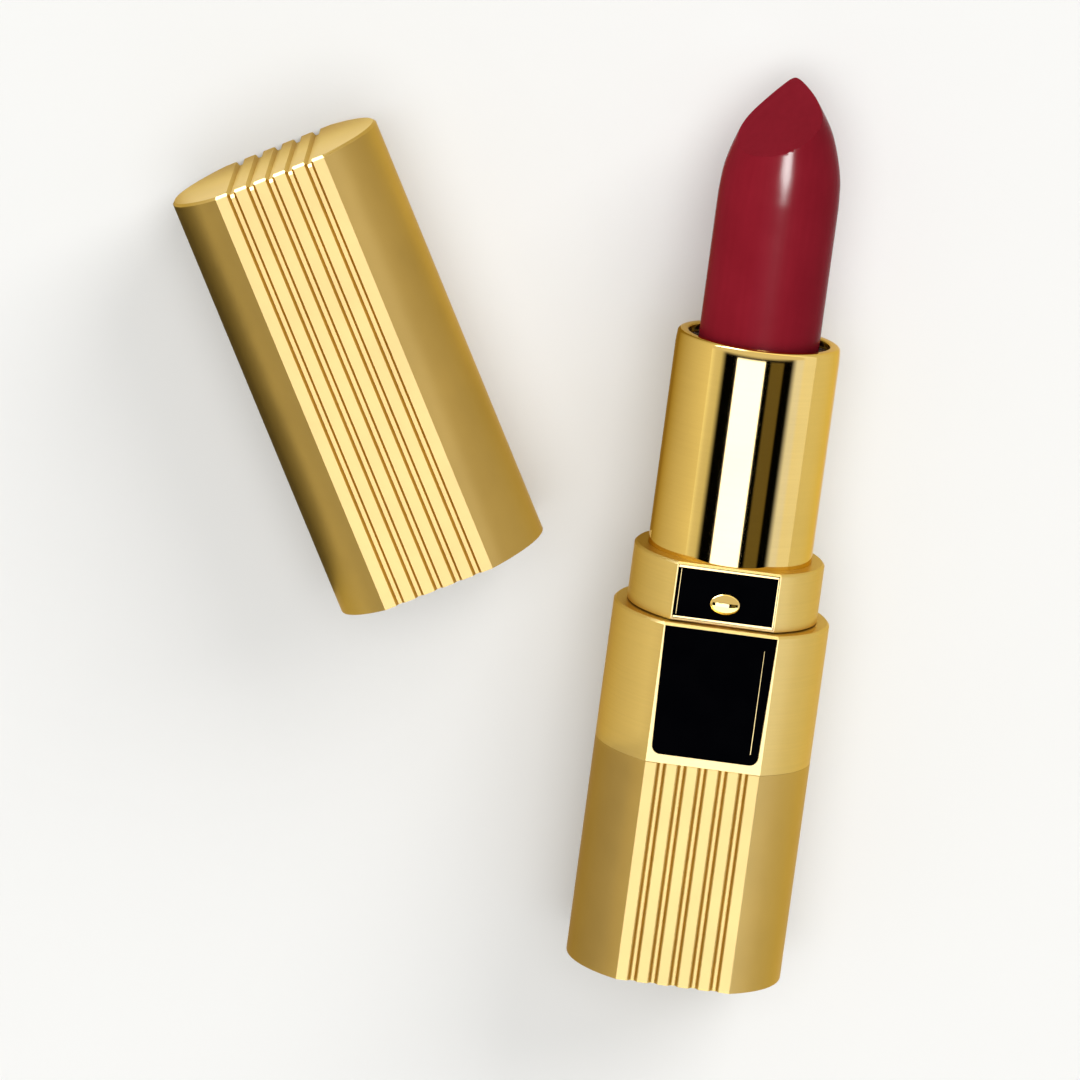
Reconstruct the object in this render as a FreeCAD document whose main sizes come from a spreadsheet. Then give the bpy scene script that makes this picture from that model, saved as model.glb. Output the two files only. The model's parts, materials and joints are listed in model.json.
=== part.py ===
import FreeCAD, Part
import math
import os

import Sketcher
from FreeCAD import Placement, Rotation, Vector

# A twist-up lipstick case: ribbed base, plain shoulder, turning collar and tube, and a ribbed cap.
# Every sub-part is drawn upright in its own frame: Z up along the case's axis from the foot, the
# front flat towards -Y. Its Placement then lays it on its back flat, so that in the part's frame
# the case's axis runs along +Y, the front flat looks up (+Z) and the origin is the foot's centre.

os.makedirs("parts", exist_ok=True)
doc = FreeCAD.newDocument("lipstick_case")

SIZES = [
    # outer section of base, shoulder and cap: two flats joined by two round sides
    ("case_width", 10.9, "half of the width across the round sides"),
    ("case_depth", 10.0, "half of the depth across the two flats"),
    ("case_flat", 5.75, "half of a flat's width"),
    ("shell_side", 0.7, "wall of a metal shell at its round sides"),
    ("shell_flat", 0.85, "wall of a metal shell at its flats, before the grooves"),
    ("fit_gap", 0.04, "gap between pieces that are glued or pressed together"),
    # heights above the foot
    ("base_top", 22.6, "where the ribbed base meets the plain shoulder"),
    ("shoulder_top", 36.85, "upper face of the shoulder"),
    ("collar_gap", 0.12, "running gap under the turning collar"),
    ("collar_top", 42.85, "upper face of the collar"),
    ("tube_top", 64.8, "rim of the tube"),
    ("bullet_top", 90.6, "tip of the lipstick, fully up"),
    ("ledge", 1.2, "thickness of the shoulder's upper wall"),
    # grooves between the ribs
    ("groove_count", 5, "grooves on each flat"),
    ("groove_pitch", 2.06, "distance between grooves"),
    ("groove_mouth", 0.46, "half of a groove's width at the surface"),
    ("groove_floor", 0.19, "half of a groove's width at its floor"),
    ("groove_depth", 0.4, "depth of a groove"),
    # black enamel panels
    ("panel_width", 5.6, "half of the shoulder panel's width at its upper edge"),
    ("panel_taper", 0.28, "how much narrower half of it is at its lower edge"),
    ("panel_low", 23.5, "lower edge of the shoulder panel"),
    ("panel_high", 36.55, "upper edge of the shoulder panel"),
    ("panel_corner", 0.9, "corner radius of the shoulder panel"),
    ("panel_recess", 0.35, "depth of the seat cut for a panel"),
    ("panel_thick", 0.3, "thickness of a panel"),
    ("badge_width", 5.05, "half of the collar panel's width"),
    ("badge_low", 37.2, "lower edge of the collar panel"),
    ("badge_high", 42.6, "upper edge of the collar panel"),
    ("badge_recess", 0.2, "depth of the seat cut for a collar panel"),
    # turning collar and tube
    ("collar_width", 9.6, "half of the collar's width"),
    ("collar_depth", 8.75, "half of the collar's depth"),
    ("collar_flat", 5.2, "half of the collar's flat"),
    ("tube_radius", 8.25, "outer radius of the tube"),
    ("tube_inner", 7.92, "inner radius of the tube"),
    ("rim_inner", 7.1, "inner radius of the tube's turned-in rim"),
    ("rim_height", 0.8, "height of the turned-in rim"),
    ("rim_round", 0.38, "outer rounding of the rim"),
    ("bead_height", 39.1, "height of the snap beads above the foot"),
    ("bead_width", 1.55, "half of a snap bead's width"),
    ("bead_rise", 1.1, "half of a snap bead's height"),
    ("bead_bulge", 0.5, "how far a snap bead stands out of its seat"),
    # screw mechanism
    ("sleeve_outer", 7.9, "outer radius of the spiral sleeve"),
    ("sleeve_inner", 7.15, "inner radius of the spiral sleeve"),
    ("sleeve_low", 24.4, "lower end of the spiral sleeve"),
    ("sleeve_top", 63.8, "upper end of the spiral sleeve"),
    ("flange_radius", 8.75, "radius of the sleeve's flange"),
    ("flange_low", 33.1, "underside of the flange"),
    ("flange_top", 34.6, "upper face of the flange"),
    ("washer_thick", 0.35, "thickness of the slip washer"),
    ("travel", 26.0, "how far the cup and lipstick rise"),
    ("thread_turns", 1.5, "turns of the tube for the whole travel"),
    ("thread_width", 1.9, "width of the spiral groove"),
    ("run_out", 0.5, "how far the tool that cuts the spiral runs past it"),
    ("thread_radius", 7.65, "radius of the spiral groove's floor"),
    ("body_outer", 7.05, "outer radius of the slotted inner body"),
    ("body_inner", 6.5, "inner radius of the slotted inner body"),
    ("body_low", 5.3, "lower end of the inner body"),
    ("body_floor", 1.0, "floor thickness of the inner body"),
    ("body_top", 63.85, "upper end of the inner body"),
    ("slot_width", 0.85, "half of a guide slot's width"),
    ("slot_low", 25.4, "lower end of the guide slots"),
    ("slot_high", 53.6, "upper end of the guide slots"),
    ("cup_radius", 6.4, "outer radius of the elevator cup"),
    ("cup_low", 51.2, "underside of the elevator cup, fully up"),
    ("cup_top", 63.2, "upper edge of the elevator cup, fully up"),
    ("cup_floor", 1.6, "floor thickness of the elevator cup"),
    ("stud_height", 52.5, "height of the cup's two studs, fully up"),
    ("stud_radius", 0.75, "radius of a stud"),
    ("stud_tip", 7.5, "distance from the axis to a stud's end"),
    ("stick_radius", 6.05, "radius of the lipstick"),
    ("nose_height", 12.0, "height of the narrowed nose"),
    # filling of the base
    ("foot_thick", 1.1, "thickness of the foot plate"),
    ("weight_top", 4.1, "upper face of the base weight"),
    ("insert_top", 32.7, "upper face of the base insert"),
    ("insert_step", 24.2, "where the insert's bore widens for the sleeve"),
    ("sleeve_bore", 8.0, "bore radius around the sleeve"),
    # cap
    ("cap_length", 44.6, "length of the cap"),
    ("cap_roof", 1.1, "thickness of the cap's closed end"),
    ("liner_width", 9.66, "half of the cap liner's inner width"),
    ("liner_depth", 8.81, "half of the cap liner's inner depth"),
    ("liner_flat", 5.23, "half of the cap liner's inner flat"),
    ("liner_low", 0.5, "how far the liner is set back from the cap's mouth"),
    ("liner_roof", 1.0, "thickness of the liner's closed end"),
    ("cap_weight_thick", 2.4, "thickness of the weight in the cap's end"),
    ("edge_break", 0.25, "small chamfer on outside edges"),
    # small gaps between neighbours
    ("turn_gap", 0.08, "between the shoulder's hole and the turning tube"),
    ("seam_gap", 0.01, "between the collar's hole and the tube in it"),
    ("press_gap", 0.02, "between the lipstick and its cup, and under the tube"),
    ("washer_inset", 0.15, "how far the washer stops inside the flange's edge"),
    ("window_gap", 0.15, "round each bead in its window in the liner"),
    ("oval_gap", 0.05, "round each bead in its hole in the panel"),
    ("badge_sunk", 0.05, "how far the collar panel lies below the flat"),
    ("stud_root", 0.3, "how deep the studs start inside the cup's wall"),
    # where the cap lies beside the case
    ("cap_turn", 29.4, "angle between the cap's axis and the case's, in degrees"),
    ("cap_x", -28.35, "cap's mouth centre, across the case"),
    ("cap_y", 37.15, "cap's mouth centre, along the case"),
]

sheet = doc.addObject("Spreadsheet::Sheet", "Sizes")
for row, (alias, number, note) in enumerate(SIZES, start=1):
    sheet.set(f"A{row}", alias)
    sheet.set(f"B{row}", str(number))
    sheet.set(f"C{row}", note)
    sheet.setAlias(f"B{row}", alias)
doc.recompute()

NAMES = sorted((alias for alias, _, _ in SIZES), key=len, reverse=True)
UPRIGHT_TO_LYING = Rotation(Vector(1, 0, 0), -90)
subparts = []


def size(alias):
    """The number in the sheet's cell."""
    return float(sheet.get(alias))


def bound(expression):
    """The expression with each alias turned into a reference to the sheet."""
    words = expression.replace("(", " ( ").replace(")", " ) ").split()
    return " ".join("Sizes." + word if word in NAMES else word for word in words)


def value(expression):
    """The expression's present value, worked out by the sheet itself."""
    return float(sheet.evalExpression(bound(expression).replace("Sizes.", "")))


def new_body(label):
    """An empty body that becomes one sub-part."""
    body = doc.addObject("PartDesign::Body", label)
    body.Label = label
    subparts.append(body)
    return body


def plane_of(body, role):
    """One of the body's own origin planes."""
    return next(plane for plane in body.Origin.OriginFeatures if plane.Role == role)


def new_sketch(body, name, role="XY_Plane", height=None):
    """A sketch on an origin plane, raised along the plane's normal by a bound height."""
    sketch = body.newObject("Sketcher::SketchObject", body.Name + "_" + name)
    sketch.AttachmentSupport = [(plane_of(body, role), "")]
    sketch.MapMode = "FlatFace"
    if height:
        sketch.setExpression(".AttachmentOffset.Base.z", bound(height))
    return sketch


def bind(sketch, kind, targets, expression):
    """A dimension on the sketch, bound to the sheet."""
    number = sketch.addConstraint(Sketcher.Constraint(kind, *targets, value(expression)))
    sketch.setExpression(f"Constraints[{number}]", bound(expression))


def draw_circle(sketch, radius):
    """A circle about the axis."""
    circle = sketch.addGeometry(Part.Circle(Vector(), Vector(0, 0, 1), value(radius)))
    sketch.addConstraint(Sketcher.Constraint("Coincident", circle, 3, -1, 1))
    bind(sketch, "Radius", (circle,), radius)


def draw_outline(sketch, points):
    """A closed outline of straight lines, each corner bound by its two coordinates."""
    spots = [Vector(value(across), value(along), 0) for across, along in points]
    ends = spots[1:] + spots[:1]
    lines = [sketch.addGeometry(Part.LineSegment(a, b)) for a, b in zip(spots, ends)]
    for line, following in zip(lines, lines[1:] + lines[:1]):
        sketch.addConstraint(Sketcher.Constraint("Coincident", line, 2, following, 1))
    for line, (across, along) in zip(lines, points):
        bind(sketch, "DistanceX", (-1, 1, line, 1), across)
        bind(sketch, "DistanceY", (-1, 1, line, 1), along)


def draw_section(sketch, width, depth, flat):
    """Two flats of half width flat at +-depth, joined by round sides that reach +-width."""
    w, d, c = value(width), value(depth), value(flat)
    radius = ((w - c) ** 2 + d ** 2) / (2 * (w - c))
    corner = math.atan2(d, c - w + radius)
    back = sketch.addGeometry(Part.LineSegment(Vector(c, d, 0), Vector(-c, d, 0)))
    front = sketch.addGeometry(Part.LineSegment(Vector(-c, -d, 0), Vector(c, -d, 0)))
    right_circle = Part.Circle(Vector(w - radius, 0, 0), Vector(0, 0, 1), radius)
    left_circle = Part.Circle(Vector(radius - w, 0, 0), Vector(0, 0, 1), radius)
    right = sketch.addGeometry(Part.ArcOfCircle(right_circle, -corner, corner))
    left = sketch.addGeometry(Part.ArcOfCircle(left_circle, math.pi - corner, math.pi + corner))
    joins = [(front, 2, right, 1), (right, 2, back, 1), (back, 2, left, 1), (left, 2, front, 1)]
    for join in joins:
        sketch.addConstraint(Sketcher.Constraint("Coincident", *join))
    sketch.addConstraint(Sketcher.Constraint("Symmetric", front, 1, front, 2, -2))
    sketch.addConstraint(Sketcher.Constraint("Symmetric", back, 1, back, 2, -2))
    sketch.addConstraint(Sketcher.Constraint("Symmetric", front, 2, back, 1, -1))
    sketch.addConstraint(Sketcher.Constraint("Equal", left, right))
    bind(sketch, "DistanceX", (-1, 1, back, 1), flat)
    bind(sketch, "DistanceY", (-1, 1, back, 1), depth)
    step = f"( {width} - ( {flat} ) )"
    bind(sketch, "Radius", (right,), f"( {step} ^ 2 + ( {depth} ) ^ 2 ) / ( 2 * {step} )")


def pad(body, sketch, length):
    """Material from the sketch along its normal."""
    feature = body.newObject("PartDesign::Pad", sketch.Name + "_pad")
    feature.Profile = sketch
    feature.setExpression("Length", bound(length))
    sketch.Visibility = False
    return feature


def pocket(body, sketch, length, reverse=True):
    """Material removed from the sketch; reversed, it cuts along the sketch's normal."""
    doc.recompute()
    before = body.Shape.Volume
    feature = body.newObject("PartDesign::Pocket", sketch.Name + "_pocket")
    feature.Profile = sketch
    feature.Reversed = reverse
    feature.setExpression("Length", bound(length))
    doc.recompute()
    if feature.Shape.Volume >= before:
        raise RuntimeError(feature.Name + " removes nothing")
    return feature


def turned(label, outline):
    """A piece turned about the axis from a half outline of (radius, height) corners."""
    body = new_body(label)
    sketch = new_sketch(body, "half", "XZ_Plane")
    draw_outline(sketch, outline)
    turn = body.newObject("PartDesign::Revolution", label + "_turn")
    turn.Profile = sketch
    turn.ReferenceAxis = (sketch, ["V_Axis"])
    turn.Angle = 360
    return body


def plain_section(label, width, depth, flat, low, high):
    """A solid block of the case's section between two heights."""
    body = new_body(label)
    sketch = new_sketch(body, "outside", height=low)
    draw_section(sketch, width, depth, flat)
    pad(body, sketch, f"( {high} ) - ( {low} )")
    return body


def hollow_section(body, width, depth, flat, low, high):
    """Clears the section from inside the body between two heights."""
    sketch = new_sketch(body, "inside" + str(len(body.Group)), height=low)
    draw_section(sketch, width, depth, flat)
    pocket(body, sketch, f"( {high} ) - ( {low} )")


def bore(body, radius, low, high):
    """A round hole on the axis between two heights."""
    sketch = new_sketch(body, "bore" + str(len(body.Group)), height=low)
    draw_circle(sketch, radius)
    pocket(body, sketch, f"( {high} ) - ( {low} )")


def groove_outline(surface):
    """The first groove's outline on a face at the named distance; it opens past the face."""
    middle = "groove_pitch * ( groove_count - 1 ) / 2"
    flare = "( groove_mouth - groove_floor )"
    return [
        (f"{middle} - groove_mouth - {flare}", f"{surface} + groove_depth"),
        (f"{middle} - groove_floor", f"{surface} - groove_depth"),
        (f"{middle} + groove_floor", f"{surface} - groove_depth"),
        (f"{middle} + groove_mouth + {flare}", f"{surface} + groove_depth"),
    ]


def repeat_grooves(body, first, axis, name):
    """The groove repeated across the flat."""
    row = body.newObject("PartDesign::LinearPattern", body.Name + name)
    row.Originals = [first]
    row.Direction = (first.Profile[0], [axis])
    row.Reversed = True
    row.setExpression("Length", bound("groove_pitch * ( groove_count - 1 )"))
    row.setExpression("Occurrences", bound("groove_count"))
    body.Tip = row
    return row


def groove_flats(body, length):
    """Grooves down both flats of a shell, from height 0 up to the length."""
    back = new_sketch(body, "groove")
    draw_outline(back, groove_outline("case_depth"))
    repeat_grooves(body, pocket(body, back, length), "H_Axis", "_back_grooves")
    front = new_sketch(body, "front_groove")
    mirrored = [(across, f"0 - ( {along} )") for across, along in groove_outline("case_depth")]
    draw_outline(front, mirrored)
    repeat_grooves(body, pocket(body, front, length), "H_Axis", "_front_grooves")


def dress_up(body, kind, chosen, dimension, length):
    """A fillet or chamfer on the edges that the chosen test picks out by their bounding box."""
    doc.recompute()
    base = body.Tip
    edges = [f"Edge{number}" for number, edge in enumerate(base.Shape.Edges, start=1)
             if chosen(edge.BoundBox)]
    feature = body.newObject("PartDesign::" + kind, body.Name + "_" + kind.lower())
    feature.Base = (base, edges)
    feature.setExpression(dimension, bound(length))
    body.Tip = feature


def break_edges(body, height):
    """A small chamfer on the outline of the upper face, which lies at the height."""
    level = value(height)

    def on_outline(box):
        is_level = abs(box.ZMin - level) < 1e-4 and abs(box.ZMax - level) < 1e-4
        is_round_hole = abs(box.XLength - box.YLength) < 1e-3
        return is_level and not is_round_hole

    dress_up(body, "Chamfer", on_outline, "Size", "edge_break")


# ---------------------------------------------------------------- case body


def make_base_shell():
    """Ribbed metal shell of the base, open at both ends."""
    body = plain_section("base_shell", "case_width", "case_depth", "case_flat", "0", "base_top")
    inner = ("case_width - shell_side", "case_depth - shell_flat", "case_flat - shell_side / 2")
    hollow_section(body, *inner, "0", "base_top")
    groove_flats(body, "base_top")


def make_shoulder_shell():
    """Plain metal shoulder with a ledge that holds the turning tube in."""
    outer = ("case_width", "case_depth", "case_flat")
    body = plain_section("shoulder_shell", *outer, "base_top", "shoulder_top")
    inner = ("case_width - shell_side", "case_depth - shell_flat", "case_flat - shell_side / 2")
    hollow_section(body, *inner, "base_top", "shoulder_top - ledge")
    bore(body, "tube_radius + turn_gap", "shoulder_top - ledge", "shoulder_top")
    break_edges(body, "shoulder_top")
    cut_seats(body, "case_depth", "panel_width", "panel_low", "panel_high", "panel_recess",
              "panel_taper")
    round_lower_corners(body, "panel_low - fit_gap / 2", "panel_corner + fit_gap / 2")


def cut_seats(body, depth, width, low, high, recess, taper="0"):
    """A shallow seat for a panel in the front flat and in the back flat."""
    # The XZ plane's normal points to -Y, so the front flat is at a positive offset.
    for side, offset in (("front", depth), ("back", f"0 - {depth}")):
        seat = new_sketch(body, side + "_seat", "XZ_Plane", offset)
        draw_panel(seat, f"{width} + fit_gap / 2", f"{low} - fit_gap / 2", f"{high} + fit_gap / 2",
                   taper)
        pocket(body, seat, recess, reverse=(side == "back"))


def draw_panel(sketch, width, low, high, taper="0"):
    """An outline centred across the flat between two heights, narrower below by the taper."""
    low_width = f"{width} - {taper}"
    corners = [(f"0 - ( {low_width} )", low), (low_width, low), (width, high), (f"0 - ( {width} )", high)]
    draw_outline(sketch, corners)


def make_panel(label, side, depth, width, low, high, taper):
    """A thin black panel that lies in its seat on the front or back flat."""
    body = new_body(label)
    face = f"{depth} - panel_recess + panel_thick"
    offset = face if side == "front" else f"0 - ( {face} )"
    sketch = new_sketch(body, "outline", "XZ_Plane", offset)
    draw_panel(sketch, width, low, high, taper)
    feature = pad(body, sketch, "panel_thick")
    feature.Reversed = side == "front"
    return body


def round_lower_corners(body, low, radius):
    """Rounds the two corners at the lower edge of a panel or of its seat."""
    bottom = value(low)

    def is_corner(box):
        runs_through = box.XLength < 1e-6 and box.ZLength < 1e-6
        return runs_through and abs(box.ZMin - bottom) < 1e-4

    dress_up(body, "Fillet", is_corner, "Radius", radius)


def make_shoulder_panels():
    """Black enamel panels on the shoulder's two flats."""
    for side in ("front", "back"):
        body = make_panel("shoulder_inlay_" + side, side, "case_depth",
                          "panel_width", "panel_low", "panel_high", "panel_taper")
        round_lower_corners(body, "panel_low", "panel_corner")


def make_base_filling():
    """Foot plate, weight and plastic insert inside the base."""
    inner = ("case_width - shell_side - fit_gap", "case_depth - shell_flat - fit_gap",
             "case_flat - shell_side / 2 - fit_gap")
    plain_section("foot_plate", *inner, "0", "foot_thick")
    plain_section("base_weight", *inner, "foot_thick + fit_gap", "weight_top")
    insert = plain_section("base_insert", *inner, "weight_top + fit_gap", "insert_top")
    bore(insert, "body_outer + fit_gap", "body_low - fit_gap", "insert_top")
    bore(insert, "sleeve_bore", "insert_step", "insert_top")


def make_inner_body():
    """Slotted inner body: it keeps the cup's studs from turning."""
    body = turned("inner_body", [
        ("0", "body_low"),
        ("body_outer", "body_low"),
        ("body_outer", "body_top"),
        ("body_inner", "body_top"),
        ("body_inner", "body_low + body_floor"),
        ("0", "body_low + body_floor"),
    ])
    slot = new_sketch(body, "slots", "YZ_Plane", "0 - body_outer - 1")
    low, high = "slot_low", "slot_high"
    side = "slot_width"
    draw_outline(slot, [(f"0 - {side}", low), (side, low), (side, high), (f"0 - {side}", high)])
    pocket(body, slot, "2 * ( body_outer + 1 )")


def make_slip_washer():
    """Plastic washer under the sleeve's flange, which gives the twist its drag."""
    turned("slip_washer", [
        ("sleeve_bore", "insert_top"),
        ("flange_radius - washer_inset", "insert_top"),
        ("flange_radius - washer_inset", "insert_top + washer_thick"),
        ("sleeve_bore", "insert_top + washer_thick"),
    ])


# ---------------------------------------------------------------- turning tube


def make_outer_tube():
    """Polished tube with a turned-in, rounded rim; it stands on the sleeve's flange."""
    body = turned("outer_tube", [
        ("tube_inner", "flange_top + press_gap"),
        ("tube_radius", "flange_top + press_gap"),
        ("tube_radius", "tube_top"),
        ("rim_inner", "tube_top"),
        ("rim_inner", "tube_top - rim_height"),
        ("tube_inner", "tube_top - rim_height"),
    ])
    rim = value("tube_top") - 1e-4
    dress_up(body, "Fillet", lambda box: box.ZMin > rim, "Radius", "rim_round")


def make_collar():
    """Gripping collar that turns with the tube, with a seat for a panel on each flat."""
    outer = ("collar_width", "collar_depth", "collar_flat")
    body = plain_section("collar", *outer, "shoulder_top + collar_gap", "collar_top")
    bore(body, "tube_radius + seam_gap", "shoulder_top + collar_gap", "collar_top")
    break_edges(body, "collar_top")
    cut_seats(body, "collar_depth", "badge_width", "badge_low", "badge_high", "badge_recess")


def make_spiral_sleeve():
    """Sleeve that turns with the tube and drives the studs with its two spiral grooves."""
    inner, outer = size("sleeve_inner"), size("sleeve_outer")
    low, top = size("sleeve_low"), size("sleeve_top")
    flange_low, flange_top = size("flange_low"), size("flange_top")
    bore_tool = Part.makeCylinder(inner, top - low + 2, Vector(0, 0, low - 1))
    wall = Part.makeCylinder(outer, top - low, Vector(0, 0, low))
    flange = Part.makeCylinder(size("flange_radius"), flange_top - flange_low, Vector(0, 0, flange_low))
    shape = wall.fuse(flange).cut(bore_tool)
    for start in (0, 180):
        shape = shape.cut(spiral_tool(start))
    sleeve = doc.addObject("Part::Feature", "spiral_sleeve")
    sleeve.Shape = shape.removeSplitter()
    subparts.append(sleeve)


def spiral_tool(start):
    """A square bar wound about the axis; it passes the angle start at the raised studs' height."""
    inside, floor = size("sleeve_inner") - size("run_out"), size("thread_radius")
    half = size("thread_width") / 2
    lead = size("travel") / size("thread_turns")
    run_out = size("run_out")
    first = size("stud_height") - size("travel") - run_out
    path = Part.makeHelix(lead, size("travel") + 2 * run_out, floor, 0)
    corners = [Vector(inside, 0, -half), Vector(floor, 0, -half),
               Vector(floor, 0, half), Vector(inside, 0, half)]
    section = Part.makePolygon(corners + corners[:1])
    bar = Part.Wire(path).makePipeShell([section], True, True)
    angle = start - 360 * (size("stud_height") - first) / lead
    bar.Placement = Placement(Vector(0, 0, first), Rotation(Vector(0, 0, 1), angle))
    return bar


# ---------------------------------------------------------------- rising cup and lipstick


def make_elevator_cup():
    """Cup that holds the lipstick; its two studs run in the slots and the spiral."""
    body = turned("elevator_cup", [
        ("0", "cup_low"),
        ("cup_radius", "cup_low"),
        ("cup_radius", "cup_top"),
        ("stick_radius + press_gap", "cup_top"),
        ("stick_radius + press_gap", "cup_low + cup_floor"),
        ("0", "cup_low + cup_floor"),
    ])
    for side, offset in (("right", "cup_radius - stud_root"), ("left", "0 - stud_tip")):
        sketch = new_sketch(body, side + "_stud", "YZ_Plane", offset)
        circle = Part.Circle(Vector(0, size("stud_height"), 0), Vector(0, 0, 1), size("stud_radius"))
        stud = sketch.addGeometry(circle)
        sketch.addConstraint(Sketcher.Constraint("PointOnObject", stud, 3, -2))
        bind(sketch, "Radius", (stud,), "stud_radius")
        bind(sketch, "DistanceY", (-1, 1, stud, 3), "stud_height")
        pad(body, sketch, "stud_tip - cup_radius + stud_root")


# Nose sections: distance below the tip over the nose's height, and width over the stick's width.
NOSE = [(1.0, 1.0), (0.74, 0.96), (0.515, 0.843), (0.34, 0.7), (0.14, 0.44), (0.0, 0.2)]
# The slanted face rises by these per millimetre to the right and to the back.
SLANT_ACROSS = 0.45
SLANT_BACK = 0.59
# Where the slanted face crosses the axis, below the tip.
SLANT_DROP = 3.0
# The box that cuts the slant is this long on each side, in millimetres.
KNIFE_SIDE = 40


def make_lipstick():
    """The stick: round below, narrowing to an upright edge, and cut off on a slant."""
    stick = doc.addObject("Part::Cylinder", "stick")
    stick.setExpression("Radius", bound("stick_radius"))
    stick.setExpression("Height", bound("bullet_top - nose_height - cup_low - cup_floor - press_gap"))
    stick.setExpression("Placement.Base.z", bound("cup_low + cup_floor + press_gap"))
    sections = []
    for number, (below, narrow) in enumerate(NOSE):
        ring = doc.addObject("Part::Ellipse", f"nose_{number}")
        ring.Placement = Placement(Vector(), Rotation(Vector(0, 0, 1), 90))
        ring.setExpression("MajorRadius", bound("stick_radius"))
        ring.setExpression("MinorRadius", bound(f"stick_radius * {narrow}"))
        ring.setExpression("Placement.Base.z", bound(f"bullet_top - nose_height * {below}"))
        sections.append(ring)
    nose = doc.addObject("Part::Loft", "nose")
    nose.Sections = sections
    nose.Solid = True
    nose.Ruled = False
    whole = doc.addObject("Part::Fuse", "whole_stick")
    whole.Base = stick
    whole.Tool = nose
    knife = doc.addObject("Part::Box", "slant")
    knife.Length = knife.Width = knife.Height = KNIFE_SIDE
    tilt = Rotation(Vector(0, 0, 1), Vector(-SLANT_ACROSS, -SLANT_BACK, 1))
    middle = tilt.multVec(Vector(KNIFE_SIDE / 2, KNIFE_SIDE / 2, 0))
    corner = Vector(0, 0, size("bullet_top") - SLANT_DROP) - middle
    knife.Placement = Placement(corner, tilt)
    stick_cut = doc.addObject("Part::Cut", "lipstick_bullet")
    stick_cut.Base = whole
    stick_cut.Tool = knife
    subparts.append(stick_cut)


def make_collar_panels():
    """Black panels in the collar's seats, each with an oval hole round its snap bead."""
    for side, sign in (("front", -1), ("back", 1)):
        panel = doc.addObject("Part::Box", f"badge_{side}")
        panel.setExpression("Length", bound("2 * badge_width"))
        panel.setExpression("Width", bound("badge_recess - badge_sunk"))
        panel.setExpression("Height", bound("badge_high - badge_low"))
        panel.setExpression("Placement.Base.x", bound("0 - badge_width"))
        seat = "collar_depth - badge_recess"
        low_y = "0 - collar_depth + badge_sunk" if sign < 0 else seat
        panel.setExpression("Placement.Base.y", bound(low_y))
        panel.setExpression("Placement.Base.z", bound("badge_low"))
        hole = bead_oval(f"hole_{side}", sign, "oval_gap")
        cut = doc.addObject("Part::Cut", f"collar_inlay_{side}")
        cut.Base = panel
        cut.Tool = hole
        subparts.append(cut)


def bead_oval(name, sign, extra):
    """The bead's oval as an ellipsoid centred on the seat's floor."""
    oval = doc.addObject("Part::Ellipsoid", name)
    oval.setExpression("Radius1", bound(f"bead_rise + {extra}"))
    oval.setExpression("Radius2", bound(f"bead_width + {extra}"))
    oval.setExpression("Radius3", bound(f"bead_bulge + {extra}"))
    seat = "( collar_depth - badge_recess )"
    oval.setExpression("Placement.Base.y", bound(f"{sign} * {seat}"))
    oval.setExpression("Placement.Base.z", bound("bead_height"))
    return oval


# The box that keeps the bead's outer half is this long on each side, in millimetres.
KEEP_SIDE = 4


def make_snap_beads():
    """Small oval beads on the collar's flats, which the cap's liner snaps over."""
    for side, sign in (("front", -1), ("back", 1)):
        oval = bead_oval(f"oval_{side}", sign, 0)
        keep = doc.addObject("Part::Box", f"keep_{side}")
        keep.Length = keep.Width = keep.Height = KEEP_SIDE
        seat = "( collar_depth - badge_recess )"
        low_y = f"0 - {seat} - {KEEP_SIDE}" if sign < 0 else seat
        keep.Placement.Base.x = -KEEP_SIDE / 2
        keep.setExpression("Placement.Base.y", bound(low_y))
        keep.setExpression("Placement.Base.z", bound(f"bead_height - {KEEP_SIDE / 2}"))
        bead = doc.addObject("Part::Common", f"snap_bead_{side}")
        bead.Base = oval
        bead.Tool = keep
        subparts.append(bead)


# ---------------------------------------------------------------- cap


def make_cap_shell():
    """Ribbed metal cap; its grooves run up both flats and across the closed end."""
    outer = ("case_width", "case_depth", "case_flat")
    body = plain_section("cap_shell", *outer, "0", "cap_length")
    inner = ("case_width - shell_side", "case_depth - shell_flat", "case_flat - shell_side / 2")
    hollow_section(body, *inner, "0", "cap_length - cap_roof")
    break_edges(body, "cap_length")
    groove_flats(body, "cap_length")
    roof = new_sketch(body, "roof_groove", "XZ_Plane", "0 - case_depth - 1")
    draw_outline(roof, groove_outline("cap_length"))
    first = pocket(body, roof, "2 * ( case_depth + 1 )")
    repeat_grooves(body, first, "H_Axis", "_roof_grooves")


def make_cap_liner():
    """Plastic liner that grips the collar, with a window for each snap bead."""
    outer = ("case_width - shell_side - fit_gap", "case_depth - shell_flat - fit_gap",
             "case_flat - shell_side / 2 - fit_gap")
    end = "cap_length - cap_roof - cap_weight_thick - 2 * fit_gap"
    body = plain_section("cap_liner", *outer, "liner_low", end)
    inner = ("liner_width", "liner_depth", "liner_flat")
    hollow_section(body, *inner, "liner_low", f"{end} - liner_roof")
    window = new_sketch(body, "windows", "XZ_Plane", "0 - case_depth - 1")
    height = "bead_height - shoulder_top - collar_gap"
    draw_panel(window, "bead_width + window_gap", f"{height} - bead_rise - window_gap",
               f"{height} + bead_rise + window_gap")
    pocket(body, window, "2 * ( case_depth + 1 )")


def make_cap_weight():
    """Metal weight between the liner and the cap's closed end."""
    outer = ("case_width - shell_side - fit_gap", "case_depth - shell_flat - fit_gap",
             "case_flat - shell_side / 2 - fit_gap")
    low = "cap_length - cap_roof - cap_weight_thick - fit_gap"
    plain_section("cap_weight", *outer, low, "cap_length - cap_roof - fit_gap")


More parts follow.
